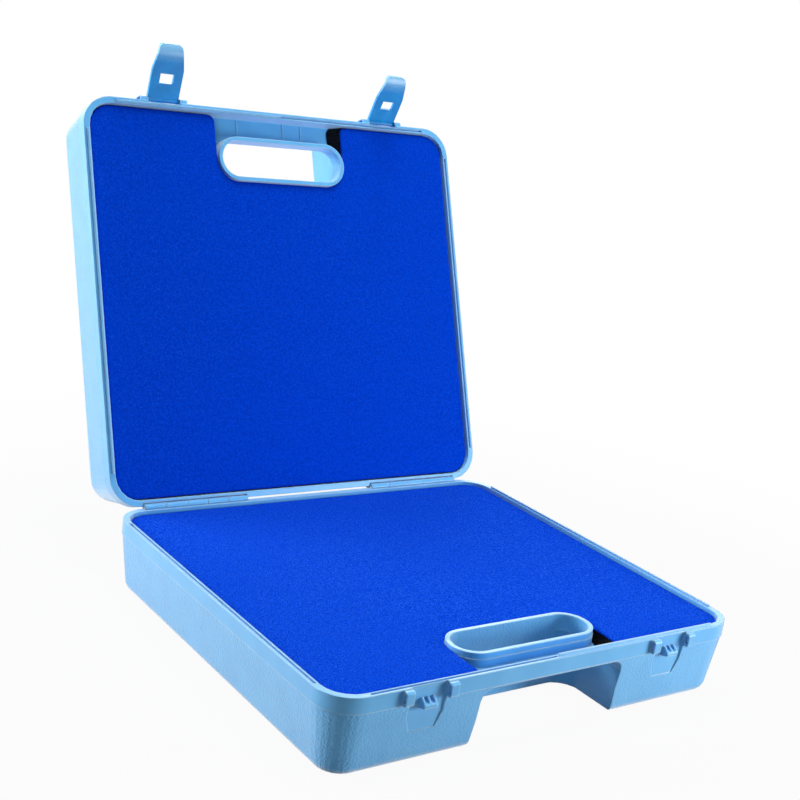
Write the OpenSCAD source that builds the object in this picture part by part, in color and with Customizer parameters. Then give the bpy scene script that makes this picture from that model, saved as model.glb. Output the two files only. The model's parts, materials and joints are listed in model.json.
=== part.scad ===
// Carry case for an otoscope, shown open. Two identical drafted half shells are
// hinged at the rear, each holds a foam block, and two snap latches hang from the lid.
// X runs left to right, the handle is at the front (-Y) and the origin is the
// centre of the base half's footprint, on the surface that the case stands on.

/* [Case] */
// Width of the closed case, side to side
case_w = 300; // [260:1:340]
// Depth of the closed case, handle to hinge
case_d = 275; // [240:1:320]
// Height of one half shell
half_h = 48.5; // [44:0.5:60]
// Radius of the four upright corners
corner_r = 21; // [16:0.5:30]
// How far the walls lean in from the band down to the bottom
draft_inset = 5.3; // [3:0.1:7]
// Radius of the edge between the walls and the bottom
bottom_r = 7; // [5:0.5:8]
// Height of the smooth band below the parting plane
band_h = 9.5; // [8.5:0.1:11]
// How far the band stands proud of the grained wall
band_proud = 0.4; // [0.2:0.1:0.8]
// Wall thickness at the rim
rim_w = 4.1; // [3.8:0.1:5]
// Thickness of the bottom and of the walls around the hand recess
skin = 2.5; // [2:0.1:3]

/* [Lid] */
// Angle between the lid and its closed place
lid_open = 112; // [90:1:125]
// Distance of the hinge axis behind the rear wall
hinge_out = 0.9; // [0.6:0.1:1.2]

/* [Hinges] */
// Inner end of each hinge, from the middle
hinge_x0 = 51.5; // [45:0.5:60]
// Length of each hinge
hinge_len = 76.5; // [60:0.5:78]
// Knuckles in each hinge
knuckles = 5; // [3:2:7]
// Radius of a knuckle
knuckle_r = 2.5; // [2.3:0.05:2.7]
// Radius of the steel hinge pin
pin_r = 1; // [0.8:0.05:1.3]
// Radial clearance around the pin
pin_gap = 0.06; // [0.04:0.01:0.1]
// Gap between two knuckles, end to end
knuckle_gap = 0.3; // [0.2:0.05:0.5]
// Width of the slit between the knuckles and the rim
hinge_slit = 0.9; // [0.5:0.1:1]

/* [Handle] */
// Width of the handle opening, inside its tube
grip_w = 98; // [90:1:102]
// Depth of the handle opening, front to back
grip_d = 26; // [22:0.5:28]
// Distance of the opening's middle from the front of the case
grip_back = 35.5; // [33:0.5:37]
// Wall of the tube around the opening
tube_wall = 2.75; // [2.2:0.05:3.2]
// Height of the grip bar, down from the parting plane
bar_h = 10.5; // [10:0.5:13]
// Half width of the hand recess at the bottom of the shell
recess_half_w = 54.2; // [50:0.1:55]
// How far each side of the recess leans in towards the grip bar
recess_lean = 3.2; // [1:0.1:4]
// Radius of the recess's rear corners
recess_r = 14; // [8:0.5:16]
// Radius of the recess's mouth in the front wall
mouth_r = 6; // [4:0.5:8]
// Rounding of the recess's edge on the bottom face
foot_r = 5; // [3:0.5:6]
// Radius between the recess's sides and the underside of the grip bar
ceiling_r = 6; // [3:0.5:7]
// Thickness of the floor of the channel between the handle tube and the front
channel_t = 1.8; // [1.5:0.1:2.5]
// Depth of the step round the tube, down from its top
step_down = 3.6; // [2:0.1:5]
// How far the tube is thicker below the step
step_out = 0.5; // [0.3:0.1:0.8]

/* [Rim] */
// Width of the tongue on one half of the rim
tongue_w = 1.2; // [1:0.1:1.3]
// Height of the tongue
tongue_h = 1.5; // [1:0.1:1.8]
// Clearance between the tongue and its groove
tongue_gap = 0.2; // [0.1:0.05:0.3]
// Distance of the tongue's middle from the outside of the case
tongue_in = 2.5; // [2.4:0.05:2.6]

/* [Latches] */
// Distance of each latch from the middle of the case
latch_x = 90.5; // [86:0.1:96]
// Width of a latch between its lugs
latch_w = 23; // [20:0.5:26]
// Width of a latch at its tip
latch_tip_w = 17.5; // [14:0.5:19]
// Length of a latch from its pivot to its tip
latch_len = 39.5; // [36:0.5:46]
// Thickness of a latch
latch_t = 2.2; // [1.8:0.1:2.4]
// Length of the latch's straight-sided part
latch_straight = 22; // [20:0.5:26]
// Radius of the trunnions that the latch turns on
trunnion_r = 1.1; // [0.9:0.05:1.3]
// Length of each trunnion
trunnion_len = 4; // [2.5:0.5:5]
// Width of the window that catches
window_w = 10.2; // [10:0.1:12]
// Height of the window
window_h = 6.8; // [6.6:0.1:7.4]
// Distance from the pivot to the middle of the window
window_at = 15.8; // [15.6:0.1:16.2]
// Width of a lug
lug_w = 5.4; // [4.5:0.1:6.5]
// How far the lugs stand out from the band
lug_out = 3.3; // [3.2:0.1:4]
// Height of a lug
lug_h = 8.4; // [7.5:0.1:9]
// Clearance between a latch and each of its lugs
latch_gap = 0.35; // [0.25:0.05:0.5]
// Depth of the latch's pivot below the parting plane
pivot_down = 3.75; // [3.5:0.05:4]
// Angle of the left latch from the plane of the lid, at rest
latch_left_angle = 35; // [0:1:60]
// Angle of the right latch from the plane of the lid, at rest
latch_right_angle = 47; // [0:1:60]
// Width of the catch that a latch snaps over
catch_w = 8.6; // [7:0.1:9.2]

/* [Foam] */
// Gap between the foam and the shell
foam_gap = 0.4; // [0.3:0.1:0.8]
// Thickness of the felt face on the foam
face_t = 1.6; // [1:0.1:2.5]
// Distance of the felt face below the parting plane
face_down = 2; // [1:0.1:3]
// Gap between the felt face and the rim
face_gap = 0.8; // [0.5:0.1:1.5]

/* [Hidden] */
plastic = [0.50, 0.74, 0.93];
latch_blue = [0.36, 0.66, 0.90];
felt_blue = [0.04, 0.24, 0.78];
foam_black = [0.07, 0.07, 0.08];
steel = [0.72, 0.73, 0.74];
over = 1;
front_y = -case_d / 2;
rear_y = case_d / 2;
hinge_y = rear_y + hinge_out;
lid_raise = 180 - lid_open;
band_z = half_h - band_h;
wall_w = case_w - 2 * band_proud;
wall_d = case_d - 2 * band_proud;
wall_r = corner_r - band_proud;
cavity_w = case_w - 2 * rim_w;
cavity_d = case_d - 2 * rim_w;
cavity_r = corner_r - rim_w;
cavity_inset = draft_inset + band_proud + skin - rim_w;
cavity_foot_r = bottom_r - skin;
grip_y = front_y + grip_back;
grip_rear_y = grip_y + grip_d / 2;
recess_h = half_h - bar_h;
channel_z = recess_h + channel_t;
lean_angle = atan(recess_lean / recess_h);
draft_angle = atan(draft_inset / (band_z + 0.5));
tube_foot = tube_wall + step_out;
tongue_x_end = case_w / 2 - corner_r - 2;
tongue_y_end = case_d / 2 - corner_r - 2;
groove_w = tongue_w + 2 * tongue_gap;
groove_h = tongue_h + tongue_gap;
knuckle_pitch = hinge_len / knuckles;
pivot_z = half_h - pivot_down;
pivot_y = front_y - lug_out / 2;
lug_z = half_h - 0.5 - lug_h;
lug_x = latch_w / 2 + latch_gap + lug_w / 2;
plate_y = front_y - lug_out + latch_t / 2;
barrel_r = 1.4;
catch_bar_z = 2 * half_h - pivot_z - window_at - 0.75;
catch_out = 2.8;
catch_bar_h = 2.8;
catch_rib_h = 2.6;
pocket_depth = 1.2;
pocket_low_z = 21;
pocket_lean = 4.3;
hull_facets = 32;
hidden_facets = 20;

// Outline of a box seen from above, with true round corners
module rounded_plan(w, d, r) {
    square([w - 2 * r, d], center = true);
    square([w, d - 2 * r], center = true);
    for (x = [-1, 1], y = [-1, 1])
        translate([x * (w / 2 - r), y * (d / 2 - r)]) circle(r = r, $fn = 96);
}

// Box with drafted walls, round upright corners and a round bottom edge
module drafted_box(w, d, r, inset, foot, low_z, high_z, facets, steps) {
    height = high_z - low_z;
    foot_in = inset * (1 - foot / height);
    hull()
        for (x = [-1, 1], y = [-1, 1])
            translate([x * (w / 2 - r), y * (d / 2 - r), low_z])
                rotate_extrude($fn = facets)
                    polygon(concat(
                        [[0, 0]],
                        [for (i = [0 : steps])
                            let (a = 90 * i / steps)
                            [r - foot_in - foot + foot * sin(a), foot * (1 - cos(a))]],
                        [[r, height], [0, height]]
                    ));
}

// Plan of the hand recess, grown by a wall thickness; the front end runs out of the case
module recess_plan(grow) {
    half_w = recess_half_w + grow;
    r = recess_r + grow;
    back = grip_rear_y + grow;
    length = back - front_y + 20;
    translate([-half_w + r, front_y - 20]) square([2 * (half_w - r), length]);
    translate([-half_w, front_y - 20]) square([2 * half_w, length - r]);
    for (x = [-1, 1]) translate([x * (half_w - r), back - r]) circle(r = r, $fn = 64);
}

// Front view of the hand recess: sides that lean in, and round corners under the grip bar
module recess_arch(grow, top, low) {
    low_half = recess_half_w + grow - recess_lean * low / recess_h;
    high_half = recess_half_w + grow - recess_lean * top / recess_h;
    r = ceiling_r + grow;
    polygon([
        [-low_half, low], [low_half, low], [high_half + r * sin(lean_angle), top - r],
        [high_half - r, top], [r - high_half, top], [-high_half - r * sin(lean_angle), top - r]
    ]);
    for (x = [-1, 1]) translate([x * (high_half - r), top - r]) circle(r = r, $fn = 64);
}

// Hand recess from the bottom up to the grip bar, grown by a wall thickness
module recess_form(grow, top) {
    intersection() {
        linear_extrude(height = top) recess_plan(grow);
        translate([0, rear_y, 0]) rotate([90, 0, 0]) linear_extrude(height = case_d + 20)
            recess_arch(grow, top, 0);
    }
}

// Rounds the edge between the front wall and the recess, in three slices along the arch
module recess_mouth() {
    depths = [0, 0.12 * mouth_r, 0.4 * mouth_r, mouth_r];
    pivot_height = band_z + 0.5;
    translate([0, front_y + band_proud - 0.05, pivot_height]) rotate([-draft_angle, 0, 0])
        translate([0, 0, -pivot_height])
            for (i = [0 : 2])
                hull()
                    for (depth = [depths[i], depths[i + 1]]) {
                        flare = mouth_r - sqrt(mouth_r * mouth_r - pow(mouth_r - depth, 2));
                        translate([0, depth, 0]) rotate([90, 0, 0]) linear_extrude(height = 0.02)
                            recess_arch(flare, recess_h, -3);
                    }
}

// Rounds the recess's edge on the bottom face, in two drafted slices
module recess_foot() {
    cuts = [0, 0.5, 2];
    for (i = [0, 1])
        hull()
            for (end = [0, 1], x = [-1, 1]) {
                z = cuts[i + end];
                flare = foot_r - sqrt(foot_r * foot_r - pow(foot_r - z, 2));
                r = recess_r + flare;
                translate([x * (recess_half_w - recess_r), grip_rear_y - recess_r, z])
                    cylinder(h = 0.02, r = r, $fn = hidden_facets);
                translate([x * (recess_half_w + flare) - (x > 0 ? 1 : 0), front_y - 5, z])
                    cube([1, 1, 0.02]);
            }
}

// Stadium outline of the handle tube, grown by a wall or a clearance
module grip_plan(grow) {
    r = grip_d / 2 + grow;
    reach = (grip_w - grip_d) / 2;
    translate([-reach, grip_y - r]) square([2 * reach, 2 * r]);
    for (x = [-1, 1]) translate([x * reach, grip_y]) circle(r = r, $fn = 96);
}

// Space inside a half shell, before the recess and the tube are left standing in it
module cavity_form(gap) {
    drafted_box(cavity_w - 2 * gap, cavity_d - 2 * gap, cavity_r - gap, cavity_inset,
        cavity_foot_r, skin + gap, half_h + over, hidden_facets, 2);
}

// Hollow of a half shell: the cavity less the recess walls and the handle tube
module hollow() {
    difference() {
        cavity_form(0);
        recess_form(skin, channel_z);
        linear_extrude(height = half_h) grip_plan(tube_wall);
        linear_extrude(height = half_h - step_down) grip_plan(tube_foot);
        channel_ribs();
    }
}

// Low ribs across the channel in front of the handle tube
module channel_ribs() {
    rib_t = 0.7;
    rib_h = 0.4;
    for (x = [-21, -6, 32])
        translate([x - rib_t / 2, front_y, channel_z - 1]) cube([rib_t, grip_back, rib_h + 1]);
}

// Strip along the rim, from one end to the other: the front half and one whole side
module rim_strip(side, w, end_gap, z0, z1) {
    line_x = case_w / 2 - tongue_in;
    line_y = front_y + tongue_in;
    half_x = tongue_x_end / 2 - 0.5 + end_gap;
    half_y = tongue_y_end + end_gap;
    translate([side * tongue_x_end / 2 - half_x, line_y - w / 2, z0]) cube([2 * half_x, w, z1 - z0]);
    translate([side * line_x - w / 2, -half_y, z0]) cube([w, 2 * half_y, z1 - z0]);
}

// Lug beside a latch, with its rounded nose
module lug(x) {
    nose_r = 1.6;
    difference() {
        translate([x - lug_w / 2, 0, 0]) rotate([90, 0, 90]) linear_extrude(height = lug_w)
            union() {
                translate([front_y - lug_out, lug_z + nose_r])
                    square([lug_out + 2, lug_h - 2 * nose_r]);
                translate([front_y - lug_out + nose_r, lug_z]) square([lug_out + 2 - nose_r, lug_h]);
                for (z = [lug_z + nose_r, lug_z + lug_h - nose_r])
                    translate([front_y - lug_out + nose_r, z]) circle(r = nose_r, $fn = 48);
            }
        trunnion_slot(x);
    }
}

// Upright slot through a lug, in which the trunnion turns
module trunnion_slot(x) {
    slot_r = trunnion_r + 0.12;
    rise = 0.8;
    drop = 2.4;
    for (z = [pivot_z + rise, pivot_z - drop])
        translate([x - lug_w, pivot_y, z]) rotate([0, 90, 0])
            cylinder(h = 2 * lug_w, r = slot_r, $fn = 48);
    translate([x - lug_w, pivot_y - slot_r, pivot_z - drop])
        cube([2 * lug_w, 2 * slot_r, drop + rise]);
}

// Catch below the lugs: a bar, with three ribs that slope back to the wall above it
module latch_catch(x) {
    rib_t = 1.3;
    root_y = front_y + 2.5;
    bar_y = front_y - catch_out;
    top_z = catch_bar_z + catch_bar_h;
    edge = 0.6;
    translate([x - catch_w / 2, 0, 0]) rotate([90, 0, 90]) linear_extrude(height = catch_w)
        polygon([
            [root_y, catch_bar_z - 1], [bar_y + 1.6, catch_bar_z], [bar_y + edge, catch_bar_z],
            [bar_y, catch_bar_z + edge], [bar_y, top_z - edge], [bar_y + edge, top_z], [root_y, top_z]
        ]);
    for (i = [-1, 0, 1])
        translate([x + i * (catch_w - rib_t) / 2 - rib_t / 2, 0, 0])
            rotate([90, 0, 90]) linear_extrude(height = rib_t)
                polygon([
                    [root_y, top_z - over], [bar_y + edge, top_z - over], [bar_y + edge, top_z],
                    [front_y - 0.8, top_z + 0.5 * catch_rib_h], [front_y + 0.8, top_z + catch_rib_h],
                    [root_y, top_z + catch_rib_h]
                ]);
}

// Smooth pocket behind a latch, shallower towards its lower end
module latch_pocket(x) {
    half_top = latch_w / 2 + latch_gap;
    half_low = 8.4;
    shoulder_z = 31;
    translate([x, front_y + pocket_depth, half_h]) rotate([pocket_lean, 0, 0])
        rotate([90, 0, 0]) linear_extrude(height = 8)
            polygon([
                [-half_top, over], [half_top, over], [half_top, shoulder_z - half_h],
                [half_low, pocket_low_z - half_h], [-half_low, pocket_low_z - half_h],
                [-half_top, shoulder_z - half_h]
            ]);
}

// True where a knuckle belongs to this half: odd ones on the left, even ones on the right
function own_knuckle(side, i) = side < 0 ? i % 2 == 0 : i % 2 == 1;
function knuckle_x(side, i) = side < 0
    ? -hinge_x0 - hinge_len + i * knuckle_pitch
    : hinge_x0 + (knuckles - 1 - i) * knuckle_pitch;

// Knuckle with the web that joins it to the rear wall
module knuckle(x) {
    length = knuckle_pitch - knuckle_gap;
    low_z = half_h - 7;
    root_z = half_h - knuckle_r - hinge_slit;
    translate([x + knuckle_gap / 2, 0, 0]) rotate([90, 0, 90]) linear_extrude(height = length) {
        translate([hinge_y, half_h]) circle(r = knuckle_r, $fn = 64);
        polygon([
            [hinge_y, half_h], [hinge_y + knuckle_r * cos(40), half_h - knuckle_r * sin(40)],
            [rear_y, low_z], [rear_y - 1.5, low_z], [rear_y - 1.5, root_z], [rear_y, root_z]
        ]);
    }
}

// Room for the knuckles of one hinge, which leaves a slit along the rim
module knuckle_room(side) {
    start_x = side < 0 ? -hinge_x0 - hinge_len : hinge_x0;
    translate([start_x - knuckle_gap, hinge_y, half_h]) rotate([0, 90, 0])
        cylinder(h = hinge_len + 2 * knuckle_gap, r = knuckle_r + hinge_slit, $fn = 64);
}

// Bore for a hinge pin, through all knuckles of one hinge
module pin_bore(side) {
    start_x = side < 0 ? -hinge_x0 - hinge_len : hinge_x0;
    translate([start_x - over, hinge_y, half_h]) rotate([0, 90, 0])
        cylinder(h = hinge_len + 2 * over, r = pin_r + pin_gap, $fn = 48);
}

// One moulded half shell; base and lid are the same moulding
module half_shell() {
    difference() {
        union() {
            difference() {
                union() {
                    drafted_box(wall_w, wall_d, wall_r, draft_inset, bottom_r, 0, band_z + 0.5,
                        hull_facets, 5);
                    translate([0, 0, band_z]) linear_extrude(height = band_h)
                        rounded_plan(case_w, case_d, corner_r);
                }
                hollow();
                for (x = [-latch_x, latch_x]) latch_pocket(x);
            }
            for (x = [-latch_x, latch_x]) {
                lug(x - lug_x);
                lug(x + lug_x);
                latch_catch(x);
            }
            rim_strip(1, tongue_w, 0, half_h - 1, half_h + tongue_h);
        }
        recess_form(0, recess_h);
        recess_mouth();
        recess_foot();
        linear_extrude(height = half_h + over) grip_plan(0);
        rim_strip(-1, groove_w, 2 * tongue_gap, half_h - groove_h, half_h + over);
        for (side = [-1, 1]) knuckle_room(side);
    }
    difference() {
        for (side = [-1, 1], i = [0 : knuckles - 1])
            if (own_knuckle(side, i)) knuckle(knuckle_x(side, i));
        for (side = [-1, 1]) pin_bore(side);
    }
}

// Cut in the foam at the front middle, open to the front and hugging the handle tube
module foam_notch(gap) {
    reach = grip_w / 2 + tube_foot + gap;
    linear_extrude(height = half_h + over) {
        grip_plan(tube_foot + gap);
        translate([-reach, front_y]) square([2 * reach, grip_back]);
    }
}

// Foam block that fills a half shell, up to the felt face
module foam_core() {
    top_z = half_h - face_down - face_t;
    difference() {
        cavity_form(foam_gap);
        translate([-case_w, -case_d, top_z]) cube([2 * case_w, 2 * case_d, half_h]);
        recess_form(skin + foam_gap, channel_z + foam_gap);
        foam_notch(foam_gap);
    }
}

// Felt face glued on the foam block
module foam_face() {
    top_z = half_h - face_down;
    lean = cavity_inset * (half_h - top_z + face_t) / half_h;
    difference() {
        translate([0, 0, top_z - face_t]) linear_extrude(height = face_t)
            rounded_plan(cavity_w - 2 * (face_gap + lean), cavity_d - 2 * (face_gap + lean),
                cavity_r - face_gap - lean);
        foam_notch(face_gap);
    }
}

// Turns a piece of a half shell into its place on the open lid
module on_lid() {
    translate([0, hinge_y, half_h]) rotate([lid_raise, 0, 0]) rotate([0, 0, 180])
        translate([0, -hinge_y, -half_h]) children();
}

// Side profile of a latch: a straight plate whose tip curls outward
module latch_profile() {
    curl_r = 14;
    curl_a = 36;
    straight = latch_len - curl_r * sin(curl_a);
    mid_y = plate_y - pivot_y;
    translate([mid_y - latch_t / 2, 0]) square([latch_t, straight]);
    circle(r = barrel_r, $fn = 48);
    translate([mid_y - curl_r, straight])
        intersection() {
            difference() {
                circle(r = curl_r + latch_t / 2, $fn = 96);
                circle(r = curl_r - latch_t / 2, $fn = 96);
            }
            polygon([[0, 0], [2 * curl_r, 0], [2 * curl_r * cos(curl_a), 2 * curl_r * sin(curl_a)]]);
        }
}

// Front outline of a latch: straight, then tapered to a rounded tip
module latch_outline() {
    tip_r = 4;
    union() {
        translate([-latch_w / 2, -2 * barrel_r]) square([latch_w, latch_straight + 2 * barrel_r]);
        polygon([
            [-latch_w / 2, latch_straight], [latch_w / 2, latch_straight],
            [latch_tip_w / 2, latch_len - tip_r], [-latch_tip_w / 2, latch_len - tip_r]
        ]);
        translate([-latch_tip_w / 2 + tip_r, latch_len - tip_r - over])
            square([latch_tip_w - 2 * tip_r, tip_r + over]);
        for (x = [-1, 1])
            translate([x * (latch_tip_w / 2 - tip_r), latch_len - tip_r]) circle(r = tip_r, $fn = 48);
    }
}

// One latch, with its pivot at the origin and its plate pointing up
module latch() {
    difference() {
        intersection() {
            translate([-latch_w, 0, 0]) rotate([90, 0, 90]) linear_extrude(height = 2 * latch_w)
                latch_profile();
            translate([0, 20, 0]) rotate([90, 0, 0]) linear_extrude(height = 40) latch_outline();
        }
        translate([-window_w / 2, -10, window_at - window_h / 2]) cube([window_w, 20, window_h]);
    }
    for (x = [-1, 1])
        translate([x * (latch_w / 2 - 0.5), 0, 0]) rotate([0, x * 90, 0])
            cylinder(h = trunnion_len + 0.5, r = trunnion_r, $fn = 48);
}

// A latch in its lugs on the lid; x is its place in the half shell's own frame
module latch_on_lid(x, angle) {
    on_lid() translate([x, pivot_y, pivot_z]) rotate([90 - angle, 0, 0]) latch();
}

// Steel pin through the knuckles of one hinge
module hinge_pin(side) {
    start_x = side < 0 ? -hinge_x0 - hinge_len : hinge_x0;
    color(steel) translate([start_x + knuckle_gap, hinge_y, half_h]) rotate([0, 90, 0])
        cylinder(h = hinge_len - 2 * knuckle_gap, r = pin_r, $fn = 48);
}

module base_shell() {
    color(plastic) half_shell();
}

module lid_shell() {
    color(plastic) on_lid() half_shell();
}

module base_foam_core() {
    color(foam_black) foam_core();
}

module base_foam_face() {
    color(felt_blue) foam_face();
}

module lid_foam_core() {
    color(foam_black) on_lid() foam_core();
}

module lid_foam_face() {
    color(felt_blue) on_lid() foam_face();
}

module latch_left() {
    color(latch_blue) latch_on_lid(latch_x, latch_left_angle);
}

module latch_right() {
    color(latch_blue) latch_on_lid(-latch_x, latch_right_angle);
}

base_shell();
lid_shell();
base_foam_core();
base_foam_face();
lid_foam_core();
lid_foam_face();
latch_left();
latch_right();
hinge_pin(-1);  // hinge_pin_left
hinge_pin(1);  // hinge_pin_right
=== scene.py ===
# %% [markdown]
# # A moulded carry case, opened
#
# This lesson dresses a carry case for an otoscope: two identical half shells
# of light blue plastic, hinged at the rear, with a foam block in each half.
# The real sizes and the moving parts come from a fixed frame that is loaded
# first. Everything that follows only adds finishes, the soft foam and the
# studio around them, so nothing here may move or resize a plastic part.

# %% Load the frame
import json
import math

import bmesh
import bpy
from mathutils import Matrix, Vector, geometry, noise


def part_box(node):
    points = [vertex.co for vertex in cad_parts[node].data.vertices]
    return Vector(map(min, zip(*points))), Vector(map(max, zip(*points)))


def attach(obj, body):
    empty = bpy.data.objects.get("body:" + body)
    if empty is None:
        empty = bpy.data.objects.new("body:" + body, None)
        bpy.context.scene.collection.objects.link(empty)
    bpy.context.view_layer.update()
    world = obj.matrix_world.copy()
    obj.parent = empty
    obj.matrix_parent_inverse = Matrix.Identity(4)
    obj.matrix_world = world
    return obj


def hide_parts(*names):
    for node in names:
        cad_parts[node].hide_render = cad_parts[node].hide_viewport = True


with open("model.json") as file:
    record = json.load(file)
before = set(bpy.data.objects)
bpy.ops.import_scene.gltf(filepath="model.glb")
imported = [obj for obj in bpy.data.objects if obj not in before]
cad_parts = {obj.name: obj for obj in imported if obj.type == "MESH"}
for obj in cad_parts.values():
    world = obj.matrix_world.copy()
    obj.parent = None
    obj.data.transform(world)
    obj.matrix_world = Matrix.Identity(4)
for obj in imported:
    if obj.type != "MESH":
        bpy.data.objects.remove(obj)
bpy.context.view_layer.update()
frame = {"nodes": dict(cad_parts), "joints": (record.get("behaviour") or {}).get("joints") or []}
print("frame loaded:", sorted(frame["nodes"]))

# %% [markdown]
# ## Units and places
#
# Blender works in metres, but the sizes of such a case are easier to read in
# millimetres, so one value, MM, turns them round. The lid is the same moulding as
# the base, only turned over and tipped up at the hinge. A matrix says so once:
# a point of the half shell, times that matrix, is the same point on the lid.

# %% Units, and the turn that puts a half shell on the lid
MM = 0.001


def joint_named(name):
    """The frame's joint of that name, with its place and its range."""
    return next(joint for joint in frame["joints"] if joint["name"] == name)


hinge = joint_named("lid_hinge")
hinge_point = Vector(hinge["pos_m"])
LID_RAISE = math.radians(180 - hinge["range_deg"][1])

LID_FROM_SHELL = (
    Matrix.Translation(hinge_point)
    @ Matrix.Rotation(LID_RAISE, 4, "X")
    @ Matrix.Rotation(math.pi, 4, "Z")
    @ Matrix.Translation(-hinge_point)
)
print(f"half shell {hinge_point.z / MM:.1f} mm high, lid raised {math.degrees(LID_RAISE):.0f} degrees")

# %% [markdown]
# ## Camera
#
# The photograph is taken from the front left, a little above the case. A
# camera was fitted to the straight rims of both halves, which gives its place,
# its direction and its lens. The small shift only centres the picture.

# %% Camera
CAMERA_PLACE = Vector((-0.50566, -0.63773, 0.36930))
CAMERA_RIGHT = Vector((0.79294, -0.59169, 0.14544))
CAMERA_UP = Vector((0.03694, 0.28495, 0.95783))
SENSOR = 36.0
LENS = 61.10
SHIFT = (-0.0714, -0.0018)

lens_data = bpy.data.cameras.new("camera")
lens_data.sensor_width = SENSOR
lens_data.sensor_fit = "HORIZONTAL"
lens_data.lens = LENS
lens_data.shift_x, lens_data.shift_y = SHIFT
camera = bpy.data.objects.new("camera", lens_data)
bpy.context.scene.collection.objects.link(camera)
camera_axes = Matrix((CAMERA_RIGHT, CAMERA_UP, CAMERA_RIGHT.cross(CAMERA_UP))).transposed()
camera.matrix_world = Matrix.Translation(CAMERA_PLACE) @ camera_axes.to_4x4()
bpy.context.scene.camera = camera
print("camera", round(LENS, 1), "mm lens")

# %% [markdown]
# ## A short way to write materials
#
# Every finish here is a small network of nodes. Adding a node, setting a few
# of its sockets and joining it to another takes many lines in plain Python, so
# a small class keeps each step to one line. Colours are written as they look
# on a screen, and turned into Blender's linear values on the way in.

# %% Helpers for materials
def linear(red, green, blue):
    """A colour as it looks on a screen, 0 to 255, as Blender's linear RGBA."""
    def channel(value):
        value = value / 255
        return value / 12.92 if value <= 0.04045 else ((value + 0.055) / 1.055) ** 2.4

    return (channel(red), channel(green), channel(blue), 1.0)


class Finish:
    """A material whose nodes are added and joined in one line each."""

    def __init__(self, name):
        self.material = bpy.data.materials.new(name)
        self.material.use_nodes = True
        self.tree = self.material.node_tree
        self.shader = self.tree.nodes["Principled BSDF"]

    def node(self, kind, settings=None, **sockets):
        """Adds a node and sets or joins its named sockets."""
        made = self.tree.nodes.new(kind)
        for key, value in (settings or {}).items():
            setattr(made, key, value)
        for key, value in sockets.items():
            self.feed(made, key.replace("_", " "), value)
        return made

    def feed(self, node, socket, value):
        """Joins a socket, given by name or number, to an output, or sets it to a plain value."""
        place = node.inputs[int(socket)] if socket.isdigit() else node.inputs[socket]
        if isinstance(value, bpy.types.NodeSocket):
            self.tree.links.new(value, place)
        else:
            place.default_value = value

    def maths(self, operation, first, second=0.0, third=0.0):
        """One sum with up to three values."""
        made = self.tree.nodes.new("ShaderNodeMath")
        made.operation = operation
        for index, value in enumerate((first, second, third)):
            self.feed(made, str(index), value)
        return made.outputs[0]

    def ramp(self, value, low, high, from_low=0.0, from_high=1.0):
        """A value that runs from low to high while another crosses a range."""
        made = self.tree.nodes.new("ShaderNodeMapRange")
        made.clamp = True
        for index, setting in enumerate((value, from_low, from_high, low, high)):
            self.feed(made, str(index), setting)
        return made.outputs[0]

    def blend(self, amount, first, second):
        """A mix of two colours: 0 is the first and 1 the second."""
        made = self.tree.nodes.new("ShaderNodeMix")
        made.data_type = "RGBA"
        self.feed(made, "0", amount)
        self.feed(made, "6", first)
        self.feed(made, "7", second)
        return made.outputs[2]

    def shine(self, **sockets):
        """Sets or joins sockets of the surface shader itself."""
        for key, value in sockets.items():
            self.feed(self.shader, key.replace("_", " "), value)


def shell_places(finish, on_lid):
    """Points of a half shell's own frame, so that one pattern fits both halves."""
    places = finish.node("ShaderNodeTexCoord").outputs["Object"]
    turn = LID_FROM_SHELL.inverted() if on_lid else Matrix.Identity(4)
    mapped = finish.node("ShaderNodeMapping", Vector=places, Location=turn.to_translation(),
                         Rotation=turn.to_euler())
    return mapped.outputs[0]


print("material helpers ready")

# %% [markdown]
# ## Moulded plastic
#
# The half shells are injection moulded in one light blue plastic. The mould
# was etched, so the walls carry a leather grain, while the band at the rim and
# the pockets behind the latches were left smooth. Inside the handle tube, the
# grain goes on up to the tube's rim. The grain could be sculpted, but it is
# finer than a millimetre: a bump from small cells and a softer noise reads the
# same and costs nothing. Where the grain stops is worked out from the place on
# the half shell, so it follows the part in every view. The rims and edges
# carry a painted highlight: where the rounded normal leaves the true one, the
# colour is lighter.

# %% Moulded plastic with its grain
PLASTIC = linear(86, 178, 236)
PLASTIC_DEEP = linear(76, 170, 230)
# The edge colour is a painted highlight on the rims and rounded edges.
PLASTIC_EDGE_HIGHLIGHT = linear(176, 224, 246)
GRAIN_ROUGHNESS = 0.42
SMOOTH_ROUGHNESS = 0.3
EDGE_HIGHLIGHT_SHARE = 0.75
EDGE_BENT = 0.8
EDGE_FLAT = 0.98
EDGE_ROUND = 1.2 * MM
BEVEL_SAMPLES = 4
POLISH_SCALE = 60.0
CELL_SCALE = 850.0
PEBBLE_SCALE = 420.0
PEBBLE_SHARE = 0.4
GRAIN_DEPTH = 0.3 * MM
BAND_LOW = 39.0 * MM
BAND_FADE = 0.35 * MM
POCKET_X = joint_named("right_latch_pivot")["pos_m"][0]
POCKET_HALF = 11.85 * MM
POCKET_LOW_HALF = 8.4 * MM
POCKET_SHOULDER = 31.0 * MM
POCKET_LOW = 21.0 * MM
POCKET_FRONT = -129.0 * MM
GRIP_HALF = 49.0 * MM
GRIP_RADIUS = 13.0 * MM
GRIP_MIDDLE = -102.0 * MM
GRIP_MARGIN = 0.2 * MM


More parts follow.
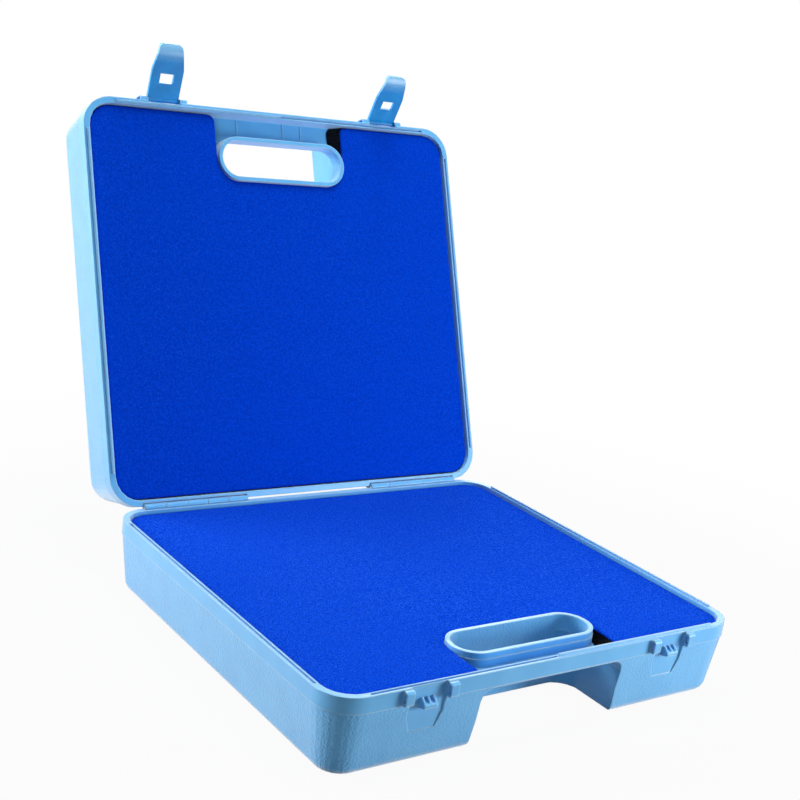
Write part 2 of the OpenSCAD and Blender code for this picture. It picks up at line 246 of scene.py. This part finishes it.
def smooth_areas(finish, places):
    """1 on the band and in the latch pockets, where the mould was polished, but 0 inside the tube."""
    axes = finish.node("ShaderNodeSeparateXYZ", Vector=places).outputs
    band = finish.ramp(axes["Z"], 0.0, 1.0, BAND_LOW - BAND_FADE, BAND_LOW)
    from_middle = finish.maths("ABSOLUTE", axes["X"])
    aside = finish.maths("ABSOLUTE", finish.maths("SUBTRACT", from_middle, POCKET_X))
    half = finish.ramp(axes["Z"], POCKET_LOW_HALF, POCKET_HALF, POCKET_LOW, POCKET_SHOULDER)
    within = finish.maths("LESS_THAN", aside, half)
    above = finish.maths("GREATER_THAN", axes["Z"], POCKET_LOW)
    front = finish.maths("LESS_THAN", axes["Y"], POCKET_FRONT)
    pocket = finish.maths("MULTIPLY", finish.maths("MULTIPLY", within, above), front)
    across = finish.maths("LESS_THAN", from_middle, GRIP_HALF + GRIP_MARGIN)
    along = finish.maths("COMPARE", axes["Y"], GRIP_MIDDLE, GRIP_RADIUS + GRIP_MARGIN)
    outside_tube = finish.maths("SUBTRACT", 1.0, finish.maths("MULTIPLY", across, along))
    return finish.maths("MULTIPLY", finish.maths("MAXIMUM", band, pocket), outside_tube)


def moulded_plastic(name, on_lid):
    """Grained light blue plastic with smooth areas and a painted highlight on its edges."""
    finish = Finish(name)
    places = shell_places(finish, on_lid)
    smooth = smooth_areas(finish, places)
    cells = finish.node("ShaderNodeTexVoronoi", {"feature": "SMOOTH_F1"}, Vector=places,
                        Scale=CELL_SCALE, Smoothness=0.6).outputs["Distance"]
    pebbles = finish.node("ShaderNodeTexNoise", Vector=places, Scale=PEBBLE_SCALE, Detail=3.0).outputs[0]
    grain = finish.maths("ADD", cells, finish.maths("MULTIPLY", pebbles, PEBBLE_SHARE))
    grained = finish.maths("MULTIPLY", grain, finish.maths("SUBTRACT", 1.0, smooth))
    polish = finish.node("ShaderNodeTexNoise", Vector=places, Scale=POLISH_SCALE, Detail=2.0).outputs[0]
    round_edges = finish.node("ShaderNodeBevel", {"samples": BEVEL_SAMPLES}, Radius=EDGE_ROUND).outputs[0]
    bump = finish.node("ShaderNodeBump", Strength=0.8, Distance=GRAIN_DEPTH, Height=grained,
                       Normal=round_edges).outputs[0]
    tint = finish.blend(finish.ramp(polish, 0.0, 1.0, 0.3, 0.7), PLASTIC, PLASTIC_DEEP)
    true_normal = finish.node("ShaderNodeNewGeometry").outputs["True Normal"]
    bent = finish.node("ShaderNodeVectorMath", {"operation": "DOT_PRODUCT"},
                       **{"0": true_normal, "1": round_edges}).outputs["Value"]
    # Painted highlight: the colour turns lighter where the rounded normal leaves the true one.
    edges = finish.ramp(bent, EDGE_HIGHLIGHT_SHARE, 0.0, EDGE_BENT, EDGE_FLAT)
    edge_highlighted = finish.blend(edges, tint, PLASTIC_EDGE_HIGHLIGHT)
    finish.shine(Base_Color=edge_highlighted, Normal=bump,
                 Roughness=finish.ramp(smooth, GRAIN_ROUGHNESS, SMOOTH_ROUGHNESS),
                 Specular_IOR_Level=0.4, Sheen_Weight=0.85, Sheen_Roughness=0.5,
                 Subsurface_Weight=0.1, Subsurface_Scale=2.0 * MM)
    return finish.material


for shell_node, lid_side in (("base_shell", False), ("lid_shell", True)):
    for shell_slot in frame["nodes"][shell_node].material_slots:
        shell_slot.material = moulded_plastic(shell_node + "_plastic", lid_side)
print("moulded plastic on both half shells")

# %% [markdown]
# ## Latches and hinge pins
#
# The two latches are small mouldings of the same blue, polished all over, and
# they look deeper in colour because light passes through so thin a plate. A
# painted highlight lightens their curled ends, growing with the distance from the pivot.
# The hinge pins are plain drawn wire: a fine streak along the wire is enough.

# %% Latch plastic and pin steel
LATCH = linear(16, 154, 226)
LATCH_DEEP = linear(0, 142, 214)
# The tip colour is a painted highlight on the curled ends.
LATCH_TIP_HIGHLIGHT = linear(140, 204, 244)
TIP_START = 27.0 * MM
TIP_END = 39.0 * MM
LATCH_ROUND = 0.4 * MM
FLOW_SCALE = 90.0
FINE_SCALE = 900.0
STREAKS = (40.0, 4000.0, 4000.0)
latch_point = joint_named("left_latch_pivot")["pos_m"]
STEEL = (0.60, 0.60, 0.59, 1.0)


def latch_plastic():
    """Polished blue plastic with a painted highlight: lighter blue at the curled end."""
    finish = Finish("latch_plastic")
    places = finish.node("ShaderNodeTexCoord").outputs["Object"]
    flow = finish.node("ShaderNodeTexNoise", Vector=places, Scale=FLOW_SCALE, Detail=2.0).outputs[0]
    fine = finish.node("ShaderNodeTexNoise", Vector=places, Scale=FINE_SCALE, Detail=1.0).outputs[0]
    round_edges = finish.node("ShaderNodeBevel", {"samples": BEVEL_SAMPLES}, Radius=LATCH_ROUND).outputs[0]
    bump = finish.node("ShaderNodeBump", Strength=0.12, Distance=0.1 * MM, Height=fine,
                       Normal=round_edges).outputs[0]
    body = finish.blend(finish.ramp(flow, 0.0, 1.0, 0.35, 0.65), LATCH, LATCH_DEEP)
    axes = finish.node("ShaderNodeSeparateXYZ", Vector=places).outputs
    along_y = finish.maths("POWER", finish.maths("SUBTRACT", axes["Y"], latch_point[1]), 2.0)
    along_z = finish.maths("POWER", finish.maths("SUBTRACT", axes["Z"], latch_point[2]), 2.0)
    reach = finish.maths("SQRT", finish.maths("ADD", along_y, along_z))
    # Painted highlight: the curled end turns lighter with the distance from the pivot.
    tip = finish.ramp(reach, 0.0, 1.0, TIP_START, TIP_END)
    finish.shine(Base_Color=finish.blend(tip, body, LATCH_TIP_HIGHLIGHT), Normal=bump,
                 Roughness=finish.ramp(flow, 0.24, 0.32), Specular_IOR_Level=0.3,
                 Sheen_Weight=0.4, Sheen_Roughness=0.4,
                 Subsurface_Weight=0.2, Subsurface_Scale=2.0 * MM)
    return finish.material


def pin_steel():
    """Drawn wire with fine streaks along it."""
    finish = Finish("pin_steel")
    places = finish.node("ShaderNodeTexCoord").outputs["Object"]
    streaks = finish.node("ShaderNodeMapping", Vector=places, Scale=STREAKS).outputs[0]
    drawn = finish.node("ShaderNodeTexNoise", Vector=streaks, Scale=1.0, Detail=3.0).outputs[0]
    finish.shine(Base_Color=STEEL, Metallic=1.0, Roughness=finish.ramp(drawn, 0.25, 0.4))
    return finish.material


latch_finish = latch_plastic()
pin_finish = pin_steel()
for node_name, finish_used in (("latch_left", latch_finish), ("latch_right", latch_finish),
                               ("hinge_pin_left", pin_finish), ("hinge_pin_right", pin_finish)):
    for slot_used in frame["nodes"][node_name].material_slots:
        slot_used.material = finish_used
print("latches and pins finished")

# %% [markdown]
# ## Felt and foam
#
# Each half is filled by a block of black foam with a thin layer of blue felt
# glued on its face. Felt has no weave: short fibres lie in every direction,
# which breaks the light into a fine speckle. The base looks more speckled than
# the lid because light rakes over it, so each half has its own amount; on the
# base that raking light is partly painted as stronger light flecks in the colour.
# Two noises, one for tufts and one for single fibres, drive the colour and the
# bump, and a sheen adds the soft rim that cloth shows at a low angle.

# %% Felt and foam
FELT = linear(0, 61, 200)
# FELT_LIGHT colours the flecks: partly fibre tone, partly painted raking light.
FELT_LIGHT = linear(40, 104, 226)
FELT_DARK = linear(0, 50, 178)
FOAM = linear(8, 9, 14)
FOAM_LIGHT = linear(34, 36, 44)
TUFT_SCALE = 520.0
FIBRE_SCALE = 1500.0
CLOUD_SCALE = 14.0
PORE_SCALE = 900.0


def blue_felt(name, on_lid, speckle):
    """Short-fibred felt; speckle is how much its fibres stand out, in the bump and in light flecks that
    are partly painted raking light.
    """
    finish = Finish(name)
    places = shell_places(finish, on_lid)
    tufts = finish.node("ShaderNodeTexNoise", Vector=places, Scale=TUFT_SCALE, Detail=3.0,
                        Roughness=0.6).outputs[0]
    fibres = finish.node("ShaderNodeTexNoise", Vector=places, Scale=FIBRE_SCALE, Detail=2.0).outputs[0]
    clouds = finish.node("ShaderNodeTexNoise", Vector=places, Scale=CLOUD_SCALE, Detail=2.0).outputs[0]
    mottled = finish.blend(finish.ramp(tufts, 0.0, 1.0, 0.35, 0.65), FELT_DARK, FELT)
    # The flecks are partly fibre colour and partly painted raking light, scaled by speckle.
    flecks = finish.maths("MULTIPLY", finish.ramp(fibres, 0.0, 1.0, 0.5, 0.72), speckle)
    flecked = finish.blend(flecks, mottled, FELT_LIGHT)
    worn = finish.blend(finish.ramp(clouds, 0.0, 0.16, 0.4, 0.7), flecked, FELT)
    height = finish.maths("ADD", tufts, finish.maths("MULTIPLY", fibres, 0.5))
    bump = finish.node("ShaderNodeBump", Strength=0.7 * speckle, Distance=0.5 * MM,
                       Height=height).outputs[0]
    finish.shine(Base_Color=worn, Normal=bump, Roughness=0.92, Specular_IOR_Level=0.0,
                 Sheen_Weight=0.08, Sheen_Roughness=0.3, Sheen_Tint=(0.25, 0.45, 1.0, 1.0))
    return finish.material


def black_foam(name, on_lid):
    """Black foam with fine open pores."""
    finish = Finish(name)
    places = shell_places(finish, on_lid)
    pores = finish.node("ShaderNodeTexVoronoi", Vector=places, Scale=PORE_SCALE).outputs["Distance"]
    shade = finish.blend(finish.ramp(pores, 0.0, 1.0, 0.1, 0.6), FOAM_LIGHT, FOAM)
    bump = finish.node("ShaderNodeBump", Strength=0.8, Distance=0.4 * MM, Height=pores).outputs[0]
    finish.shine(Base_Color=shade, Normal=bump, Roughness=0.95, Specular_IOR_Level=0.15)
    return finish.material


print("felt and foam ready")

# %% [markdown]
# ## The foam blocks
#
# A foam block fills the half shell up to the rim. Seen from above it is a
# rounded square with a notch at the front, which hugs the rear half of the
# handle tube. The outline is made of arcs and straight runs. Pulling that one
# outline in by small steps on the way up gives the soft roll at the cut edge,
# and a fine net of triangles over the top lets the felt rise and fall by a few
# tenths of a millimetre, as glued felt does.

# %% The outline of a foam block
ARC_STEPS = 10
TIP_STEPS = 5
NOTCH_CORNER = 5.0 * MM
LEAST_TIP = 0.5 * MM
LEDGE_START = 4.0 * MM
LEDGE_REACH = 18.5 * MM


def arc(centre, radius, start, end, steps=ARC_STEPS):
    """Points on an arc from one angle to another, both in degrees."""
    angles = [math.radians(start + (end - start) * step / steps) for step in range(steps + 1)]
    return [(centre[0] + radius * math.cos(a), centre[1] + radius * math.sin(a)) for a in angles]


def block_outline(low, high, corner, notch_gap, inset, left_ledge=0.0, right_ledge=0.0):
    """Outline of a foam block, anticlockwise, pulled in by inset on every side.

    In front of the tube, the notch is narrower by the two ledges.
    """
    right, rear, front = high.x - inset, high.y - inset, low.y + inset
    round_off = corner - inset
    hug = GRIP_RADIUS + notch_gap + inset
    side = GRIP_HALF + notch_gap + inset
    tip = max(NOTCH_CORNER - inset, LEAST_TIP)
    points = arc((right - round_off, front + round_off), round_off, -90, 0)
    points += arc((right - round_off, rear - round_off), round_off, 0, 90)
    points += arc((-right + round_off, rear - round_off), round_off, 90, 180)
    points += arc((-right + round_off, front + round_off), round_off, 180, 270)
    points += arc((-side + left_ledge - tip, front + tip), tip, -90, 0, TIP_STEPS)
    points += [(-side + left_ledge, GRIP_MIDDLE - LEDGE_REACH), (-side, GRIP_MIDDLE - LEDGE_START)]
    points += arc((-side + hug, GRIP_MIDDLE), hug, 180, 90)
    points += arc((side - hug, GRIP_MIDDLE), hug, 90, 0)
    points += [(side, GRIP_MIDDLE - LEDGE_START), (side - right_ledge, GRIP_MIDDLE - LEDGE_REACH)]
    points += arc((side - right_ledge + tip, front + tip), tip, 180, 270, TIP_STEPS)
    return [Vector(point) for point in points]


def mesh_object(name, work):
    """A Blender object from a finished bmesh, shaded smooth."""
    bmesh.ops.recalc_face_normals(work, faces=work.faces)
    mesh = bpy.data.meshes.new(name)
    work.to_mesh(mesh)
    work.free()
    mesh.polygons.foreach_set("use_smooth", [True] * len(mesh.polygons))
    made = bpy.data.objects.new(name, mesh)
    bpy.context.scene.collection.objects.link(made)
    return made


print("a quarter round has", ARC_STEPS, "steps")

# %% [markdown]
# ## From outline to solid
#
# The rings of the outline become the sides, from the bottom up. The top is a
# net of triangles over the last ring and a grid of points inside it. Blender's
# constrained triangulation takes both and keeps only what lies inside the
# outline, so the notch stays open without any cutting afterwards.

# %% Solids from an outline
NET_STEP = 4.0 * MM
NET_MARGIN = 0.6 * NET_STEP
INSIDE_ONLY = 1
SAME_POINT = 1e-7
WAVE_SCALE = 11.0
WAVE_HEIGHT = 0.22 * MM
WAVE_LAYER = 0.3
PUCKER_SCALE = 55.0
PUCKER_HEIGHT = 0.07 * MM
PUCKER_LAYER = 2.7


def triangles_over(outline, inside):
    """Points and triangles that cover an outline and use the points inside it."""
    count = len(outline)
    edges = [(index, (index + 1) % count) for index in range(count)]
    made = geometry.delaunay_2d_cdt(outline + inside, edges, [], INSIDE_ONLY, SAME_POINT)
    return made[0], made[2]


def net_points(outline):
    """A grid of points in staggered rows, kept clear of the outline's own points."""
    wide = max(point.x for point in outline)
    low = min(point.y for point in outline)
    high = max(point.y for point in outline)
    inside = []
    for row in range(int((high - low) / NET_STEP)):
        for column in range(int(2 * wide / NET_STEP) + 1):
            shift = NET_STEP / 2 if row % 2 else 0.0
            point = Vector((-wide + column * NET_STEP + shift, low + (row + 0.5) * NET_STEP))
            if min((point - corner).length for corner in outline) > NET_MARGIN:
                inside.append(point)
    return inside


def felt_height(x, y):
    """How far the felt stands above its plane: long slow waves and small puckers."""
    slow = noise.noise(Vector((x * WAVE_SCALE, y * WAVE_SCALE, WAVE_LAYER)))
    small = noise.noise(Vector((x * PUCKER_SCALE, y * PUCKER_SCALE, PUCKER_LAYER)))
    return WAVE_HEIGHT * slow + PUCKER_HEIGHT * small


def block(name, rings, wavy):
    """Closed solid through rings of (outline, height), with a net on the last ring."""
    work = bmesh.new()
    loops = [[work.verts.new((p.x, p.y, z)) for p in outline] for outline, z in rings]
    count = len(loops[0])
    for lower, upper in zip(loops, loops[1:]):
        for index in range(count):
            following = (index + 1) % count
            work.faces.new((lower[index], lower[following], upper[following], upper[index]))
    for triangle in triangles_over(rings[0][0], [])[1]:
        work.faces.new([loops[0][number] for number in triangle])
    outline, top = rings[-1]
    points, triangles = triangles_over(outline, net_points(outline))
    placed = dict(enumerate(loops[-1]))
    for triangle in triangles:
        for number in triangle:
            if number not in placed:
                x, y = points[number]
                lift = felt_height(x, y) if wavy else 0.0
                placed[number] = work.verts.new((x, y, top + lift))
        work.faces.new([placed[number] for number in triangle])
    return mesh_object(name, work)


print("net step", NET_STEP / MM, "mm")

# %% [markdown]
# ## Placing the foam in both halves
#
# The black block comes first and the felt lies on it. The felt ends a little
# short of the block, so a thin dark line shows all round it inside the rim.
# To the right of each handle, a wedge of black foam reaches in front of the
# tube. Right means the reader's right, so on the turned lid it is the shell's
# own left. All other forms are the same in both halves: the lid's pieces are
# turned by the same matrix as the lid itself, then ride on it.

# %% Foam and felt in the base and the lid
face_low, face_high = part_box("base_foam_face")
core_low, core_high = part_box("base_foam_core")
FELT_FOOT = [(0.25 * MM, 0.0), (0.0, 0.5 * MM)]
FELT_ROLL = [(0.1 * MM, 0.7 * MM), (0.45 * MM, 0.25 * MM), (1.0 * MM, 0.05 * MM), (2.2 * MM, 0.0)]
FELT_CORNER = 15.5 * MM
CORE_CORNER = 16.5 * MM
FELT_NOTCH = 3.1 * MM
CORE_NOTCH = 3.7 * MM
RECESS_NOTCH = 8.4 * MM
RECESS_TOP = 40.3 * MM
CORE_LEDGE = 9.0 * MM
CORE_STEP = 0.1 * MM
CORE_DRAFT = 3.6 * MM
CORE_FOOT = 4.0 * MM
CORE_HEEL = 1.2 * MM
CORE_GAP = 0.4 * MM
CORE_TOP_GAP = 0.1 * MM
CORE_TOP_ROLL = 0.3 * MM


def felt_rings():
    """Rings of the felt from its foot up to the soft roll at its top edge."""
    steps = [(inset, face_low.z + rise) for inset, rise in FELT_FOOT]
    steps += [(inset, face_high.z - fall) for inset, fall in FELT_ROLL]
    return [(block_outline(face_low, face_high, FELT_CORNER, FELT_NOTCH, inset), z)
            for inset, z in steps]


def core_rings(left_ledge, right_ledge):
    """Rings of the black block: each step is an inset, a height, a notch gap and a share of the ledges."""
    low, high = core_low.z, core_high.z
    steps = [
        (CORE_DRAFT + CORE_FOOT, low, RECESS_NOTCH, 0.0),
        (CORE_DRAFT + CORE_HEEL, low + CORE_HEEL, RECESS_NOTCH, 0.0),
        (CORE_DRAFT, low + CORE_FOOT, RECESS_NOTCH, 0.0),
        (CORE_GAP, RECESS_TOP, RECESS_NOTCH, 0.0),
        (CORE_GAP, RECESS_TOP + CORE_STEP, CORE_NOTCH, 1.0),
        (CORE_TOP_GAP, high - CORE_TOP_ROLL, CORE_NOTCH, 0.0),
        (CORE_GAP, high, CORE_NOTCH, 0.0),
    ]
    return [(block_outline(core_low, core_high, CORE_CORNER, notch - inset, inset,
                           share * left_ledge, share * right_ledge), z)
            for inset, z, notch, share in steps]


def lay_foam(half, body, on_lid, speckle):
    """The black block and its felt in one half, riding on that half's body."""
    ledges = (CORE_LEDGE, 0.0) if on_lid else (0.0, CORE_LEDGE)
    core = block(half + "_foam", core_rings(*ledges), False)
    felt = block(half + "_felt", felt_rings(), True)
    core.data.materials.append(black_foam(half + "_black_foam", on_lid))
    felt.data.materials.append(blue_felt(half + "_blue_felt", on_lid, speckle))
    layers = ((core, half + "_foam_core", "black_foam"),
              (felt, half + "_foam_face", "blue_felt"))
    for piece, node, slot in layers:
        if on_lid:
            piece.data.transform(LID_FROM_SHELL)
        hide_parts(node)
        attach(piece, body)
    print(half, "felt:", len(felt.data.polygons), "faces")


# The base's stronger speckle paints the light raking over it into the felt's colour.
lay_foam("base", "base", False, 1.0)
lay_foam("lid", "lid", True, 0.35)

# %% [markdown]
# ## Studio
#
# The photograph has a pure white ground and hardly any shadow. The floor is
# white for the camera and for reflections, and keeps only a trace of shadow.
# For all other light it is grey, so that it sends little of it up to the case.
# Soft lamps stand on both sides of the rear, overhead and at the front right,
# because the left walls and the rims of the case are the brightest, and its
# front left corner is the darkest.

# %% Floor, world and lamps
WHITE = (1.0, 1.0, 1.0, 1.0)
FLOOR_SIZE = 6.0
FLOOR_DROP = 0.5 * MM
FLOOR_GLOW = 0.95
SHADOW_REACH = 0.3
FLOOR_GREY = (0.3, 0.3, 0.3, 1.0)
WORLD_FILL = 0.13
LAMP_AIM = Vector((0.0, 0.05, 0.15))
LAMPS = [
    ("rear_left", (-0.95, 0.75, 0.4), 18.5, 0.7),
    ("front_right", (0.55, -0.6, 0.16), 6.0, 0.35),
    ("rear_right", (1.1, 1.75, 1.0), 17.0, 1.0),
    ("overhead", (0.1, 0.1, 1.6), 20.0, 0.8),
]


def seen_directly(finish_tree):
    """1 for what the camera sees, directly, mirrored or through something clear."""
    rays = finish_tree.nodes.new("ShaderNodeLightPath").outputs
    total = None
    for kind in ("Is Camera Ray", "Is Glossy Ray", "Is Transmission Ray"):
        if total is None:
            total = rays[kind]
            continue
        larger = finish_tree.nodes.new("ShaderNodeMath")
        larger.operation = "MAXIMUM"
        finish_tree.links.new(total, larger.inputs[0])
        finish_tree.links.new(rays[kind], larger.inputs[1])
        total = larger.outputs[0]
    return total


def white_floor():
    """A floor that glows white for the camera, a little less so under and near the case."""
    work = bmesh.new()
    bmesh.ops.create_grid(work, x_segments=2, y_segments=2, size=FLOOR_SIZE)
    floor = mesh_object("floor", work)
    floor.location.z = -FLOOR_DROP
    finish = Finish("white_floor")
    finish.shine(Base_Color=FLOOR_GREY, Roughness=0.9, Specular_IOR_Level=0.1)
    glow = finish.node("ShaderNodeEmission", Color=WHITE, Strength=1.0)
    mixed = finish.node("ShaderNodeMixShader")
    place = finish.node("ShaderNodeNewGeometry").outputs["Position"]
    reach = finish.node("ShaderNodeVectorMath", {"operation": "LENGTH"}, **{"0": place}).outputs["Value"]
    glow_there = finish.ramp(reach, FLOOR_GLOW, 1.0, SHADOW_REACH, 2 * SHADOW_REACH)
    amount = finish.maths("MULTIPLY", seen_directly(finish.tree), glow_there)
    finish.feed(mixed, "0", amount)
    finish.feed(mixed, "1", finish.shader.outputs[0])
    finish.feed(mixed, "2", glow.outputs[0])
    finish.tree.links.new(mixed.outputs[0], finish.tree.nodes["Material Output"].inputs[0])
    floor.data.materials.append(finish.material)


def white_world():
    """A world that is white where it is seen, and gives a low even fill."""
    world = bpy.data.worlds.new("studio")
    bpy.context.scene.world = world
    world.use_nodes = True
    tree = world.node_tree
    sky = tree.nodes["Background"]
    sky.inputs["Color"].default_value = WHITE
    strength = tree.nodes.new("ShaderNodeMapRange")
    tree.links.new(seen_directly(tree), strength.inputs[0])
    strength.inputs["To Min"].default_value = WORLD_FILL
    strength.inputs["To Max"].default_value = 1.0
    tree.links.new(strength.outputs[0], sky.inputs["Strength"])


def soft_lamp(name, place, power, size):
    """A square lamp that points at the middle of the case."""
    lamp = bpy.data.lights.new(name, "AREA")
    lamp.energy = power
    lamp.size = size
    holder = bpy.data.objects.new(name, lamp)
    holder.location = place
    holder.rotation_euler = (LAMP_AIM - Vector(place)).to_track_quat("-Z", "Y").to_euler()
    bpy.context.scene.collection.objects.link(holder)


white_floor()
white_world()
for lamp_name, lamp_place, lamp_power, lamp_size in LAMPS:
    soft_lamp(lamp_name, lamp_place, lamp_power, lamp_size)
bpy.context.scene.view_settings.view_transform = "Standard"
print("studio lit by", len(LAMPS), "lamps")
